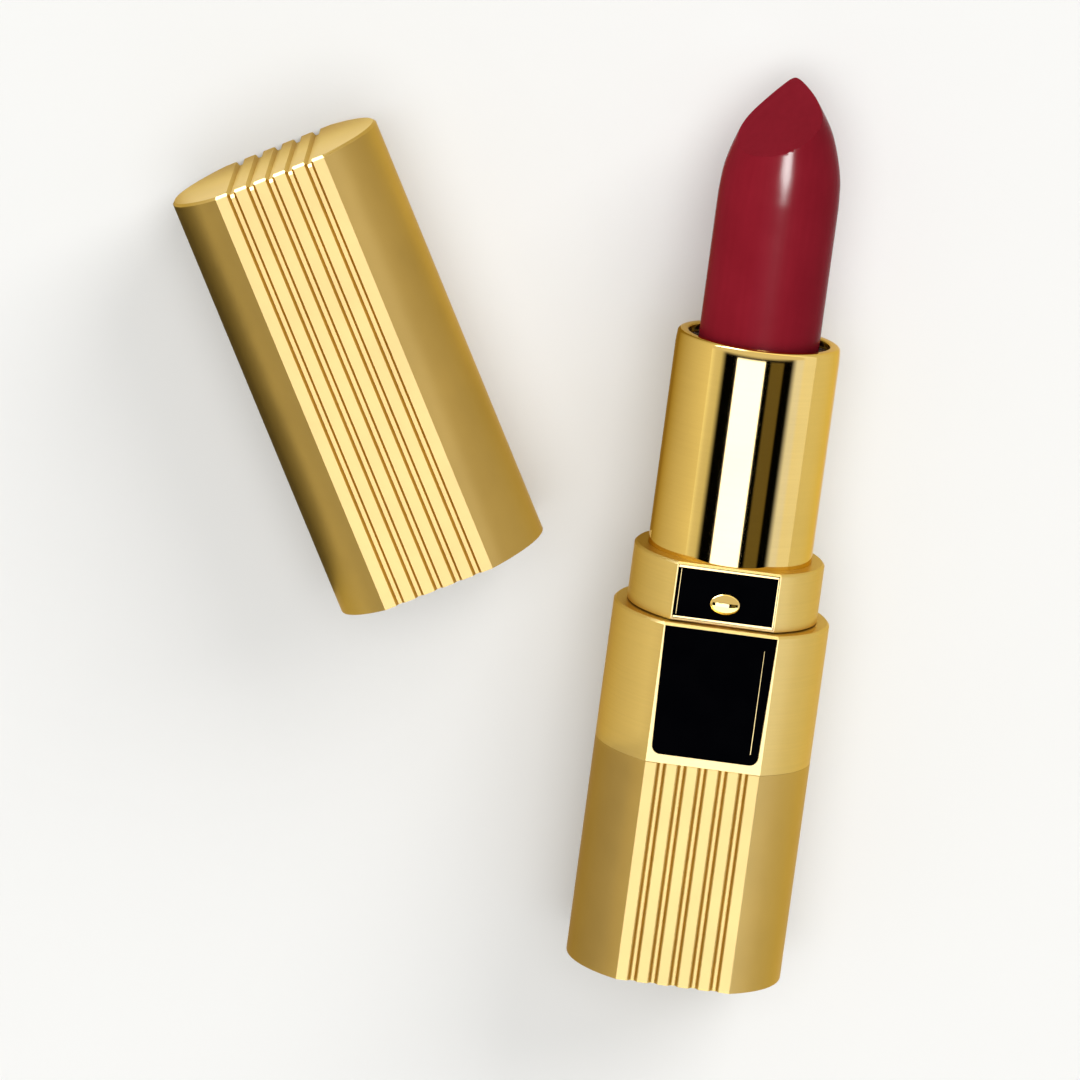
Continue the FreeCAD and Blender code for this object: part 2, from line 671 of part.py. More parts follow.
def place_subparts():
    """Lays the case on its back flat, and the cap beside it, turned away from it."""
    beside = Rotation(Vector(0, 0, 1), size("cap_turn")) * UPRIGHT_TO_LYING
    for part in subparts:
        if part.Name.startswith("cap_"):
            part.Placement = Placement(Vector(size("cap_x"), size("cap_y"), 0), beside)
        else:
            part.Placement = Placement(Vector(), UPRIGHT_TO_LYING)


def check_and_write():
    """Stops on any failed object, then writes one STEP file for each sub-part."""
    doc.recompute()
    for item in doc.Objects:
        if "Invalid" in item.State or "Error" in item.State:
            raise RuntimeError(item.Name + " failed: " + str(item.State))
    for part in subparts:
        if part.Shape.isNull() or not part.Shape.isValid():
            raise RuntimeError(part.Name + " has no valid shape")
        part.Shape.exportStep(f"parts/{part.Label}.step")
        print(part.Label, len(part.Shape.Solids), round(part.Shape.Volume, 1))


make_base_shell()
make_shoulder_shell()
make_shoulder_panels()
make_base_filling()
make_inner_body()
make_slip_washer()
make_outer_tube()
make_collar()
make_collar_panels()
make_snap_beads()
make_spiral_sleeve()
make_elevator_cup()
make_lipstick()
make_cap_shell()
make_cap_liner()
make_cap_weight()
place_subparts()
check_and_write()
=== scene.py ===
import json
import math

import bmesh
import bpy
from mathutils import Matrix, Vector


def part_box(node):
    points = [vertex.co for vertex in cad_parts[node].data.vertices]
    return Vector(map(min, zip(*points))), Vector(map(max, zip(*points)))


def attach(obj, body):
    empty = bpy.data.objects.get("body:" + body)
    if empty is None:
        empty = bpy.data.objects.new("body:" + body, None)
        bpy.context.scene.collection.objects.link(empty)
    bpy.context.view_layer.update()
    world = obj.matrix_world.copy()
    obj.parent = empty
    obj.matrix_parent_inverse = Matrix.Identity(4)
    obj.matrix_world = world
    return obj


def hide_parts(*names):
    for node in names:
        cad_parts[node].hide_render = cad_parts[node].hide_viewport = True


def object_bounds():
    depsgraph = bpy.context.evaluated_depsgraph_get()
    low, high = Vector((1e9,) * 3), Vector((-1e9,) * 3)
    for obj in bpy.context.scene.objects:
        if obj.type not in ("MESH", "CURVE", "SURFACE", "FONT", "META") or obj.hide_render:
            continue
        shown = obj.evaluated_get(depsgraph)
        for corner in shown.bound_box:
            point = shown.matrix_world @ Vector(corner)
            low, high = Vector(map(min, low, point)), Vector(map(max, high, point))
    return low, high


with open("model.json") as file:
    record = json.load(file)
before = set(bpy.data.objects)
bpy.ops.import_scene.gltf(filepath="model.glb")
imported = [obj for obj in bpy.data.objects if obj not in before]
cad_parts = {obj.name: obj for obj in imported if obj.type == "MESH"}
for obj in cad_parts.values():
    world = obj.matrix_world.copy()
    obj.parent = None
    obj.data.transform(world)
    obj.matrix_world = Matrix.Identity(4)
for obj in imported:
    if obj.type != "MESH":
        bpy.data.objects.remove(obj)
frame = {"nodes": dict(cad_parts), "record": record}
CAD_BOX = [list(corner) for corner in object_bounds()]
MM = 0.001

# ---------------------------------------------------------------- camera

CAMERA_AT = Vector((-25.2, 221.1, 883.6)) * MM
AIM = Vector((-19.0, 41.4, 0.0)) * MM
CAMERA_UP = Vector((-0.1311, 0.9713, -0.1984))
LENS = 300.0


def make_camera():
    """Looks down at the case and cap, a little from the lipstick's end, with a slight roll."""
    data = bpy.data.cameras.new("camera")
    data.lens = LENS
    camera = bpy.data.objects.new("camera", data)
    bpy.context.collection.objects.link(camera)
    back = (CAMERA_AT - AIM).normalized()
    right = CAMERA_UP.cross(back).normalized()
    up = back.cross(right)
    turn = Matrix((right, up, back)).transposed().to_4x4()
    camera.matrix_world = Matrix.Translation(CAMERA_AT) @ turn
    bpy.context.scene.camera = camera


# ---------------------------------------------------------------- node helpers


class Nodes:
    """A node tree with short calls for the nodes that the materials and the world use."""

    def __init__(self, tree):
        self.tree = tree
        tree.nodes.clear()

    def add(self, kind, links=None, **settings):
        """A new node: links go from sockets to its inputs, and settings are properties or inputs."""
        node = self.tree.nodes.new(kind)
        for name, setting in settings.items():
            if hasattr(node, name):
                setattr(node, name, setting)
            else:
                node.inputs[name.replace("_", " ")].default_value = setting
        for name, socket in (links or {}).items():
            self.tree.links.new(socket, node.inputs[name])
        return node

    def math(self, operation, first, second, clamp=False):
        node = self.add("ShaderNodeMath", operation=operation, use_clamp=clamp)
        for index, item in enumerate((first, second)):
            if isinstance(item, (int, float)):
                node.inputs[index].default_value = item
            else:
                self.tree.links.new(item, node.inputs[index])
        return node.outputs[0]

    def ramp(self, factor, stops):
        node = self.add("ShaderNodeValToRGB", {"Fac": factor})
        elements = node.color_ramp.elements
        for element, (place, colour) in zip(elements, (stops[0], stops[-1])):
            element.position = place
            element.color = as_rgba(colour)
        for place, colour in stops[1:-1]:
            elements.new(place).color = as_rgba(colour)
        return node.outputs["Color"]

    def noise(self, vector, scale, detail):
        node = self.add("ShaderNodeTexNoise", {"Vector": vector}, Scale=scale, Detail=detail)
        return node.outputs["Fac"]

    def stretch(self, vector, factors):
        node = self.add("ShaderNodeVectorMath", {0: vector}, operation="MULTIPLY")
        node.inputs[1].default_value = factors
        return node.outputs["Vector"]

    def mix(self, factor, first, second):
        node = self.add("ShaderNodeMix", data_type="RGBA")
        for name, item in (("Factor_Float", factor), ("A_Color", first), ("B_Color", second)):
            socket = next(s for s in node.inputs if s.identifier == name)
            if isinstance(item, bpy.types.NodeSocket):
                self.tree.links.new(item, socket)
            else:
                socket.default_value = item if name == "Factor_Float" else as_rgba(item)
        return next(s for s in node.outputs if s.identifier == "Result_Color")


def as_rgba(colour):
    """A grey level or an RGB triple as RGBA."""
    if isinstance(colour, (int, float)):
        colour = (colour,) * 3
    return (*colour, 1.0)


# ---------------------------------------------------------------- studio

# What shiny pieces mirror from overhead, by the angle in degrees that a direction leans to the
# right of straight up: pale walls low down on both sides, and between them the white softbox with
# black flags and a brown card.
BLACK = (0.0, 0.0, 0.0)
BROWN = (0.18, 0.15, 0.08)
WHITE = (3.4, 3.75, 7.5)
PALE_LEFT = (1.6, 1.64, 1.75)
PALE_RIGHT = (1.12, 1.25, 2.2)
LEFT_SIDE = [(-90, PALE_LEFT), (-72, PALE_LEFT), (-60, (1.0, 1.0, 1.05)), (-51, (0.9, 0.9, 0.9)),
             (-44, BLACK)]
RIGHT_SIDE = [(50, BLACK), (58, PALE_RIGHT), (90, PALE_RIGHT)]
SOFTBOX = [(-27.7, BLACK), (-27.5, WHITE), (12.2, WHITE), (12.4, BLACK), (19.3, BLACK),
           (20, BROWN), (37, BROWN), (39, BLACK)]
CEILING = (1.0, 1.0, 1.2)
CREAM = (3.0, 3.6, 5.4)
FOOT_SIDE = (0.7, 0.65, 0.5)
FOOT_CEILING = [(-90, FOOT_SIDE), (-55, FOOT_SIDE), (-45, CREAM), (90, CREAM)]
# Where the softbox and flags start and end, as a direction's part along the case. Before the
# start, toward the foot, the ceiling is cream but for its left; after the end, toward the tip,
# come a gap without the softbox and then the pale ceiling.
STRIPS_START = -0.36
STRIPS_END = -0.075
GAP_END = -0.03
STRIPS_FADE = 0.03
WINDOW = (12.0, 15.0, 30.0)
# What shiny pieces mirror near the horizon, by the compass angle in degrees from the right, and how
# far up that reaches, as a direction's part straight up.
HORIZON = [
    (-180, (1.8, 1.7, 1.45)), (-165, (0.48, 0.43, 0.34)), (-125, (0.40, 0.35, 0.27)),
    (-105, CREAM), (-75, CREAM), (-55, (1.1, 1.15, 1.5)), (35, (1.3, 1.38, 1.9)),
    (70, (1.8, 1.8, 1.7)), (98, (1.8, 1.8, 1.7)), (110, WINDOW), (140, WINDOW),
    (160, (1.3, 1.2, 1.0)), (180, (1.8, 1.7, 1.45)),
]
HORIZON_TOP = 0.32
HORIZON_FADE = 0.08
# What the camera sees past the floor, and the even light that matt surfaces get.
BACKDROP = (0.955, 0.947, 0.922)
AMBIENT = (0.32, 0.32, 0.318)


def make_world():
    """A pale studio with long soft and dark strips overhead, which only shiny surfaces show."""
    world = bpy.data.worlds.new("studio")
    bpy.context.scene.world = world
    world.use_nodes = True
    n = Nodes(world.node_tree)
    direction = n.add("ShaderNodeTexCoord").outputs["Generated"]
    parts = n.add("ShaderNodeSeparateXYZ", {"Vector": direction})
    x, y, z = (parts.outputs[name] for name in "XYZ")

    def by_angle(across, along, stops):
        turned = n.math("DIVIDE", n.math("ADD", n.math("ARCTAN2", across, along), math.pi), math.tau)
        return n.ramp(turned, [((angle + 180) / 360, colour) for angle, colour in stops])

    def past(item, start, fade):
        return n.math("DIVIDE", n.math("SUBTRACT", item, start), fade, clamp=True)

    strips = by_angle(x, z, LEFT_SIDE + SOFTBOX + RIGHT_SIDE)
    gap = by_angle(x, z, LEFT_SIDE + RIGHT_SIDE)
    foot = by_angle(x, z, FOOT_CEILING)
    footed = n.mix(past(y, STRIPS_START, STRIPS_FADE), foot, strips)
    edged = n.mix(past(y, STRIPS_END, STRIPS_FADE), footed, gap)
    overhead = n.mix(past(y, GAP_END, STRIPS_FADE), edged, CEILING)
    shiny = n.mix(past(z, HORIZON_TOP, HORIZON_FADE), by_angle(y, x, HORIZON), overhead)
    rays = n.add("ShaderNodeLightPath")
    seen = n.mix(rays.outputs["Is Glossy Ray"], BACKDROP, shiny)
    matt = n.math("MINIMUM", rays.outputs["Diffuse Depth"], 1.0)
    lighting = n.mix(matt, seen, AMBIENT)
    background = n.add("ShaderNodeBackground", {"Color": lighting})
    n.add("ShaderNodeOutputWorld", {"Surface": background.outputs["Background"]})


FLOOR_HALF = 1.5
FLOOR_TONES = [(0.3, (0.740, 0.734, 0.717)), (0.7, (0.744, 0.738, 0.721))]
# The floor's own glow, painted light that lightens the shadows on it evenly.
FLOOR_GLOW = (0.155, 0.158, 0.154)


def make_floor():
    """A plain pale floor at the height of the lowest flat, with a faint even glow of its own: painted
    light that lightens its shadows.
    """
    level = CAD_BOX[0][2]
    corners = [(-FLOOR_HALF, -FLOOR_HALF), (FLOOR_HALF, -FLOOR_HALF),
               (FLOOR_HALF, FLOOR_HALF), (-FLOOR_HALF, FLOOR_HALF)]
    mesh = bpy.data.meshes.new("floor")
    mesh.from_pydata([(*corner, level) for corner in corners], [], [(0, 1, 2, 3)])
    floor = bpy.data.objects.new("floor", mesh)
    bpy.context.collection.objects.link(floor)
    material, n = new_material("floor_paper")
    place = n.add("ShaderNodeTexCoord").outputs["Object"]
    tone = n.ramp(n.noise(place, 60, 3), FLOOR_TONES)
    settings = {"Roughness": 1.0, "Specular IOR Level": 0.0,
                "Emission Color": as_rgba(FLOOR_GLOW), "Emission Strength": 1.0}
    finish_material(n, {"Base Color": tone}, settings)
    mesh.materials.append(material)


# Broad lights for matt surfaces: name, strength, spread in degrees, the way they shine, and
# whether they leave out the lipstick or shine on nothing else.
LIGHTS = [
    ("top_light", 1.6, 50, (0.0, 0.0, -1.0), None),
    ("key_light", 1.6, 40, (-1.05, -1.4, -1.0), "EXCLUDE"),
    ("stick_light", 1.0, 40, (0.7, -0.3, -1.0), "INCLUDE"),
]


def link_to_stick(light, stick, state):
    """Makes a light leave out the lipstick, or shine on nothing else."""
    linked = bpy.data.collections.new(light.name + "_pieces")
    linked.objects.link(stick)
    light.light_linking.receiver_collection = linked
    linked.collection_objects[0].light_linking.link_state = state


def make_lights(stick):
    """Light from above and from the upper right, so that soft shadows fall to the lower left."""
    for name, energy, spread, way, state in LIGHTS:
        data = bpy.data.lights.new(name, "SUN")
        data.energy = energy
        data.angle = math.radians(spread)
        light = bpy.data.objects.new(name, data)
        bpy.context.collection.objects.link(light)
        light.rotation_euler = Vector(way).to_track_quat("-Z", "Y").to_euler()
        light.visible_glossy = False
        if state:
            link_to_stick(light, stick, state)


NOSE_LIGHT_AT = Vector((24.0, 115.0, 201.0)) * MM
NOSE_LIGHT_TOWARD = Vector((0.6, 81.7, 5.8)) * MM
NOSE_LIGHT_SIZE = (74 * MM, 60 * MM)
NOSE_LIGHT_COLOUR = (0.72, 0.9, 1.0)
NOSE_LIGHT_POWER = 15.5


def make_nose_light(stick):
    """A small soft light that only the lipstick's nose catches, as a highlight."""
    data = bpy.data.lights.new("nose_light", "AREA")
    data.shape = "ELLIPSE"
    data.size, data.size_y = NOSE_LIGHT_SIZE
    data.color = NOSE_LIGHT_COLOUR
    data.energy = NOSE_LIGHT_POWER
    light = bpy.data.objects.new("nose_light", data)
    bpy.context.collection.objects.link(light)
    light.location = NOSE_LIGHT_AT
    toward = NOSE_LIGHT_TOWARD - NOSE_LIGHT_AT
    light.rotation_euler = toward.to_track_quat("-Z", "Y").to_euler()
    light.visible_diffuse = False
    link_to_stick(light, stick, "INCLUDE")


# Cards that only reflections show: glowing sheets, no lamps, whose glow is painted light and painted
# shade in the gold's reflections. The place of one corner, the direction along the card and its
# tilt from the floor in degrees, its length and width, and its tones from edge to edge across it.
CARDS = [
    ("cap_card", (-38.2, 31.4), 119.4, 0, 46, 14, (0.04, 0.04, 0.04), (0.04, 0.04, 0.04)),
    ("far_cap_card", (-50.4, 24.5), 119.4, 0, 46, 40, (0.17, 0.16, 0.15), (0.17, 0.16, 0.15)),
    ("cap_end_card", (-40.0, 84.5), 209.4, 0, 24, -14, (1.55, 1.85, 3.1), (1.55, 1.85, 3.1)),
    ("cap_side_card", (-13.2, 22.5), 100.0, 90, 84, 21, (0.67, 0.64, 0.62), (0.88, 0.86, 0.86)),
    ("base_card", (-13.2, -2.0), 90.0, 90, 24, 20, (0.42, 0.37, 0.34), (0.71, 0.69, 0.74)),
    ("case_card", (-12.6, 22.5), 93.0, 90, 68, 21, (0.33, 0.245, 0.09), (1.10, 1.07, 1.02)),
    ("tube_card", (-7.5, 42.0), 93.0, 0, 44, 8, (0.32, 0.24, 0.09), (0.32, 0.24, 0.09)),
]


CARD_LIFT = 0.05


def make_cards():
    """Places the glowing cards, painted reflections for the gold, round the case and the cap, a hair
    above the floor.
    """
    for name, corner, turn, tilt, length, width, near_tone, far_tone in CARDS:
        mesh = bpy.data.meshes.new(name)
        corners = [(0, 0), (length, 0), (length, width), (0, width)]
        mesh.from_pydata([Vector((*place, 0)) * MM for place in corners], [], [(0, 1, 2, 3)])
        card = bpy.data.objects.new(name, mesh)
        bpy.context.collection.objects.link(card)
        card.location = Vector((*corner, CAD_BOX[0][2] / MM + CARD_LIFT)) * MM
        card.rotation_euler = (math.radians(tilt), 0, math.radians(turn))
        material, n = new_material(name)
        place = n.add("ShaderNodeTexCoord").outputs["Object"]
        rise = n.add("ShaderNodeSeparateXYZ", {"Vector": place}).outputs["Y"]
        tone = n.ramp(n.math("DIVIDE", rise, width * MM), [(0, near_tone), (1, far_tone)])
        # The card's glow is painted light and shade: only reflections on the shiny pieces show it.
        glow = n.add("ShaderNodeEmission", {"Color": tone})
        n.add("ShaderNodeOutputMaterial", {"Surface": glow.outputs["Emission"]})
        mesh.materials.append(material)
        card.visible_camera = False
        card.visible_diffuse = False
        card.visible_shadow = False


# ---------------------------------------------------------------- materials


def new_material(name):
    """An empty material and its node tree."""
    material = bpy.data.materials.new(name)
    material.use_nodes = True
    return material, Nodes(material.node_tree)


def finish_material(n, links, settings, height=None, depth=0.0):
    """The Principled shader with constants on its own sockets, and a bump where one is given."""
    shader = n.add("ShaderNodeBsdfPrincipled", links)
    for name, setting in settings.items():
        shader.inputs[name].default_value = setting
    if height is not None:
        bump = n.add("ShaderNodeBump", {"Height": height}, Strength=1.0, Distance=depth)
        n.tree.links.new(bump.outputs["Normal"], shader.inputs["Normal"])
    n.add("ShaderNodeOutputMaterial", {"Surface": shader.outputs["BSDF"]})


# How many features of each kind gold has to the metre: brush lines are fine along the piece only.
BRUSH_LINES = (60, 5200, 60)
SPECKS = 9000
CLOUDS = 140


def gold(name, colour, roughness, grain, brush, depth):
    """Gold plate: cloudy tone, a fine grain, and brush lines that run round the piece."""
    material, n = new_material(name)
    place = n.add("ShaderNodeTexCoord").outputs["Object"]
    lines = n.noise(n.stretch(place, BRUSH_LINES), 1.0, 3)
    specks = n.noise(place, SPECKS, 2)
    cloud = n.noise(place, CLOUDS, 3)
    dark = tuple(channel * 0.96 for channel in colour)
    light = tuple(min(1.0, channel * 1.03) for channel in colour)
    blend = n.math("ADD", n.math("MULTIPLY", cloud, 1 - brush), n.math("MULTIPLY", lines, brush))
    tone = n.ramp(blend, [(0.35, dark), (0.65, light)])
    rough = n.math("ADD", roughness - grain / 2, n.math("MULTIPLY", specks, grain))
    height = n.math("ADD", n.math("MULTIPLY", lines, brush), n.math("MULTIPLY", specks, grain))
    settings = {"Metallic": 1.0, "Specular Tint": (0.95, 0.75, 0.40, 1.0)}
    finish_material(n, {"Base Color": tone, "Roughness": rough}, settings, height, depth)
    return material


def enamel():
    """Deep glossy black with a trace of cloudiness."""
    material, n = new_material("black_enamel")
    place = n.add("ShaderNodeTexCoord").outputs["Object"]
    cloud = n.noise(place, 300, 3)
    tone = n.ramp(cloud, [(0.4, (0.0002, 0.0002, 0.0002)), (0.6, (0.0005, 0.0005, 0.0005))])
    rough = n.ramp(cloud, [(0.3, 0.06), (0.7, 0.09)])
    finish_material(n, {"Base Color": tone, "Roughness": rough}, {"Specular IOR Level": 0.002})
    return material


def plastic(name, colour, roughness):
    """Moulded plastic with a slight mottling."""
    material, n = new_material(name)
    place = n.add("ShaderNodeTexCoord").outputs["Object"]
    cloud = n.noise(place, 400, 4)
    dark = tuple(channel * 0.9 for channel in colour)
    tone = n.ramp(cloud, [(0.35, dark), (0.65, colour)])
    rough = n.ramp(cloud, [(0.3, roughness - 0.05), (0.7, roughness + 0.05)])
    finish_material(n, {"Base Color": tone, "Roughness": rough}, {}, n.noise(place, 6000, 2), 3e-6)
    return material


def steel():
    """Sawn steel with fine parallel marks."""
    material, n = new_material("weight_steel")
    place = n.add("ShaderNodeTexCoord").outputs["Object"]
    marks = n.noise(n.stretch(place, (4000, 80, 80)), 1.0, 3)
    tone = n.ramp(marks, [(0.3, (0.42, 0.42, 0.43)), (0.7, (0.6, 0.6, 0.61))])
    finish_material(n, {"Base Color": tone}, {"Metallic": 1.0, "Roughness": 0.35}, marks, 4e-6)
    return material


def lipstick():
    """Waxy deep red with a soft sheen."""
    material, n = new_material("red_wax")
    place = n.add("ShaderNodeTexCoord").outputs["Object"]
    cloud = n.noise(place, 220, 4)
    streak = n.noise(n.stretch(place, (1500, 60, 1500)), 1.0, 3)
    both = n.math("ADD", n.math("MULTIPLY", cloud, 0.6), n.math("MULTIPLY", streak, 0.4))
    tone = n.ramp(both, [(0.35, (0.222, 0.0095, 0.0185)), (0.65, (0.25, 0.0115, 0.022))])
    rough = n.ramp(cloud, [(0.3, 0.19), (0.7, 0.24)])
    settings = {"Specular IOR Level": 0.01, "Specular Tint": (1.0, 0.85, 0.75, 1.0)}
    finish_material(n, {"Base Color": tone, "Roughness": rough}, settings, streak, 6e-6)
    return material


SATIN = (0.50, 0.325, 0.078)
BRIGHT = (0.65, 0.455, 0.125)
POLISHED = (0.70, 0.48, 0.12)
OFF_WHITE = (0.80, 0.79, 0.75)
DARK_GREY = (0.012, 0.012, 0.012)


def make_materials():
    """Every material of the case, by the name of its slot."""
    return {
        "ribbed_gold": gold("ribbed_gold", SATIN, roughness=0.36, grain=0.06, brush=0.0, depth=3e-6),
        "bright_gold": gold("bright_gold", BRIGHT, roughness=0.34, grain=0.04, brush=0.5, depth=1e-6),
        "polished_gold": gold("polished_gold", POLISHED, roughness=0.06, grain=0.01, brush=0.3, depth=0),
        "black_enamel": enamel(),
        "white_plastic": plastic("white_plastic", OFF_WHITE, roughness=0.45),
        "dark_plastic": plastic("dark_plastic", DARK_GREY, roughness=0.5),
        "weight_steel": steel(),
        "red_wax": lipstick(),
    }


# ---------------------------------------------------------------- shapes

# Bevels on the edges of the CAD parts that are kept.
EDGE_WIDTH = {"base_shell": 0.08, "shoulder_shell": 0.08, "collar": 0.07}
FINE_EDGE = 0.04
# Points of a CAD mesh closer than the first are one point; narrower bevel slivers than the second
# are closed up.
SAME_PLACE = 0.001
SLIVER = 0.007


def soften(node, width):
    """Joins a CAD node's faces, then gives its edges small real bevels with clean shading."""
    weld = node.modifiers.new("join", "WELD")
    weld.merge_threshold = SAME_PLACE * MM
    bevel_edges(node, width)


def bevel_edges(piece, width, segments=2, angle=25, flatness=100):
    """Small real bevels on the sharp edges, without slivers, and flats that stay flat in shading."""
    bevel = piece.modifiers.new("edges", "BEVEL")
    bevel.width = width * MM
    bevel.segments = segments
    bevel.limit_method = "ANGLE"
    bevel.angle_limit = math.radians(angle)
    tidy = piece.modifiers.new("tidy", "WELD")
    tidy.merge_threshold = SLIVER * MM
    shade = piece.modifiers.new("shading", "WEIGHTED_NORMAL")
    shade.weight = flatness
    shade.keep_sharp = True


def arc(centre, radius, start, end, steps):
    """Points on an arc about a centre, with angles in degrees from the first axis."""
    points = []
    for step in range(steps + 1):
        angle = math.radians(start + (end - start) * step / steps)
        points.append((centre[0] + radius * math.cos(angle), centre[1] + radius * math.sin(angle)))
    return points


SHARP_ANGLE = 38


def new_piece(name, vertices, faces, material, body, node):
    """A smooth-shaded mesh given in millimetres, which may stand for a CAD node."""
    mesh = bpy.data.meshes.new(name)
    mesh.from_pydata([Vector(vertex) * MM for vertex in vertices], [], faces)
    mesh.validate()
    mesh.shade_smooth()
    mesh.set_sharp_from_angle(angle=math.radians(SHARP_ANGLE))
    piece = bpy.data.objects.new(name, mesh)
    bpy.context.collection.objects.link(piece)
    mesh.materials.append(material)
    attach(piece, body)
    if node:
        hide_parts(node)
    return piece


ROUND_STEPS = 128


def ring_faces(rows, around, closed):
    """Quads between rows of points that run round an axis."""
    faces = []
    for row in range(rows if closed else rows - 1):
        after = (row + 1) % rows
        for step in range(around):
            beside = (step + 1) % around
            faces.append((row * around + step, row * around + beside,
                          after * around + beside, after * around + step))
    return faces


TUBE_RADIUS, TUBE_INNER, RIM_INNER = 8.25, 7.92, 7.1
RIM_ROUND, RIM_THICK, LIP_ROUND = 0.38, 0.8, 0.16
BARREL_LENGTH, BARREL_DROP, BARREL_STEPS = 1.3, 0.07, 8


def tube_profile(low, top):
    """The tube's wall, which leans in slightly below its rounded, turned-in rim."""
    points = [(TUBE_RADIUS, low)]
    shoulder = top - RIM_ROUND
    for step in range(BARREL_STEPS):
        part = step / BARREL_STEPS
        points.append((TUBE_RADIUS - BARREL_DROP * part ** 2, shoulder - BARREL_LENGTH * (1 - part)))
    outer = TUBE_RADIUS - BARREL_DROP
    points += arc((outer - RIM_ROUND, shoulder), RIM_ROUND, 5, 90, 10)
    points += arc((RIM_INNER + LIP_ROUND, top - LIP_ROUND), LIP_ROUND, 90, 180, 6)
    points += [(RIM_INNER, top - RIM_THICK), (TUBE_INNER, top - RIM_THICK), (TUBE_INNER, low)]
    return points


def make_tube(materials):
    """The polished tube, turned round the case's axis."""
    low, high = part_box("outer_tube")
    profile = tube_profile(low[1] / MM, high[1] / MM)
    vertices = []
    for radius, along in profile:
        for step in range(ROUND_STEPS):
            angle = math.tau * step / ROUND_STEPS
            vertices.append((radius * math.cos(angle), along, -radius * math.sin(angle)))
    faces = ring_faces(len(profile), ROUND_STEPS, closed=True)
    new_piece("tube_wall", vertices, faces, materials["polished_gold"], "tube_unit", "outer_tube")


# The lipstick's nose before its cut: distance below its tip, half width across, and half depth
# front to back.
NOSE = [
    (14.5, 6.05, 6.05), (13.0, 6.05, 6.04), (12.0, 6.03, 6.01), (9.6, 5.81, 5.80), (6.9, 5.10, 5.42),
    (4.8, 4.24, 5.1), (2.4, 2.66, 4.9), (1.2, 1.7, 4.8), (0.3, 0.85, 4.7), (0.0, 0.6, 4.7),
]
NOSE_ROWS = 40
# The uncut tip stands this far above the CAD stick's, and the cut meets the axis this far below it.
TIP_ABOVE = 0.7
CUT_BELOW = 3.0
CUT_FACES = Vector((-0.45, 1.0, 0.59)).normalized()
# Rows below the nose, above the stick's foot.
FOOT_ROWS = (0.0, 0.3, 8.0, 16.0)
CUT_JOIN = 0.01
CUT_EDGE = 0.12


def nose_size(below):
    """Half width and half depth of the nose at a distance below its tip, on a smooth curve."""
    if below >= NOSE[0][0]:
        return NOSE[0][1:]
    for index in range(len(NOSE) - 1):
        upper, lower = NOSE[index], NOSE[index + 1]
        if lower[0] <= below <= upper[0]:
            break
    before = NOSE[max(index - 1, 0)]
    after = NOSE[min(index + 2, len(NOSE) - 1)]
    span = upper[0] - lower[0]
    part = (upper[0] - below) / span
    sizes = []
    for column in (1, 2):
        rise_in = (lower[column] - before[column]) / max(before[0] - lower[0], span) * span
        rise_out = (after[column] - upper[column]) / max(upper[0] - after[0], span) * span
        start, end = upper[column], lower[column]
        cube, square = part ** 3, part ** 2
        sizes.append(start * (2 * cube - 3 * square + 1) + rise_in * (cube - 2 * square + part)
                     + end * (3 * square - 2 * cube) + rise_out * (cube - square))
    return sizes


def make_stick(materials):
    """The lipstick: a round stick whose nose narrows from the sides and is cut on a slant."""
    low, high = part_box("lipstick_bullet")
    tip = high[1] / MM + TIP_ABOVE
    heights = [low[1] / MM + rise for rise in FOOT_ROWS]
    heights += [tip - NOSE[0][0] * (1 - row / NOSE_ROWS) for row in range(NOSE_ROWS + 1)]
    vertices = []
    for along in heights:
        across, deep = nose_size(tip - along)
        for step in range(ROUND_STEPS):
            angle = math.tau * step / ROUND_STEPS
            vertices.append((across * math.cos(angle), along, -deep * math.sin(angle)))
    faces = ring_faces(len(heights), ROUND_STEPS, closed=False)
    faces.append(tuple(reversed(range(ROUND_STEPS))))
    top_row = (len(heights) - 1) * ROUND_STEPS
    faces.append(tuple(range(top_row, top_row + ROUND_STEPS)))
    piece = new_piece("stick", vertices, faces, materials["red_wax"], "elevator", "lipstick_bullet")
    cut_nose(piece.data, Vector((0, high[1] - CUT_BELOW * MM, 0)))
    piece.data.shade_smooth()
    bevel_edges(piece, CUT_EDGE, segments=3, angle=20, flatness=50)
    return piece


def cut_nose(mesh, place):
    """Cuts the nose off on its slant through a place and closes the cut."""
    shape = bmesh.new()
    shape.from_mesh(mesh)
    bmesh.ops.bisect_plane(shape, geom=shape.verts[:] + shape.edges[:] + shape.faces[:],
                           plane_co=place, plane_no=CUT_FACES, clear_outer=True, dist=1e-5 * MM)
    bmesh.ops.remove_doubles(shape, verts=shape.verts[:], dist=CUT_JOIN * MM)
    rim = [edge for edge in shape.edges if edge.is_boundary]
    bmesh.ops.holes_fill(shape, edges=rim)
    bmesh.ops.recalc_face_normals(shape, faces=shape.faces[:])
    shape.to_mesh(mesh)
    shape.free()


# Panels: part, body, half width at the lower edge, and radius of that edge's corners.
PANELS = [
    ("shoulder", "case", 5.32, 0.9),
    ("collar", "tube_unit", 5.05, 0.0),
]
PANEL_EDGE = 0.05


def panel_outline(box_low, box_high, foot_half, corner):
    """Outline across and along the case, with its own half width and corners at the lower edge."""
    low, high, half = box_low[1] / MM, box_high[1] / MM, box_high[0] / MM
    right = [(half, high)]
    if corner:
        right += arc((foot_half - corner, low + corner), corner, 0, -90, 10)
    else:
        right.append((foot_half, low))
    left = [(-across, along) for across, along in reversed(right)]
    return right + left


